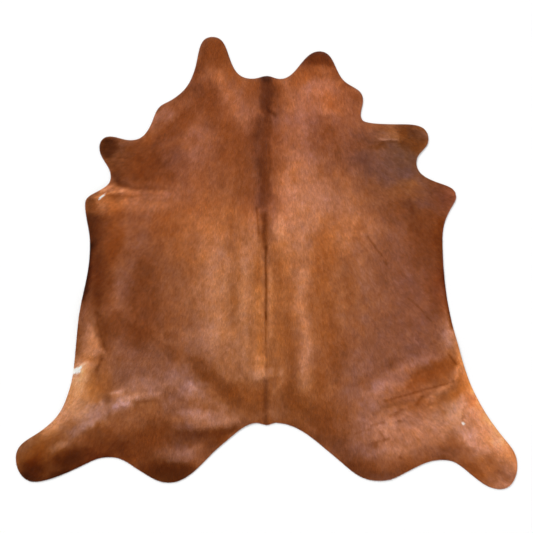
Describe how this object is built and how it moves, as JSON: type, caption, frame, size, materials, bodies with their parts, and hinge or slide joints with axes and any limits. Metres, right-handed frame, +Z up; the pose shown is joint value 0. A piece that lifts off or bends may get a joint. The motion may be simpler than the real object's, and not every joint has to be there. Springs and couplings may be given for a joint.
{
  "type": "cowhide rug",
  "caption": "Cowhide rug: a whole tanned hide with short brown hair, cut along its natural outline of neck, leg and rump lobes, lying flat in soft waves.",
  "frame": {"origin": "middle of the rug's box on the floor that it lies on", "axes": "+Z up from the floor through the hair side, +Y along the spine towards the neck, +X to the right across the hide seen from above with the neck ahead"},
  "size_m": [2.2554, 2.0343, 0.0181],
  "materials": {
    "hide": "short reddish brown hair lying flat with a soft sheen, on a tanned skin with a pale suede underside"
  },
  "bodies": {
    "root": {"hide": "hide"}
  },
  "joints": []
}
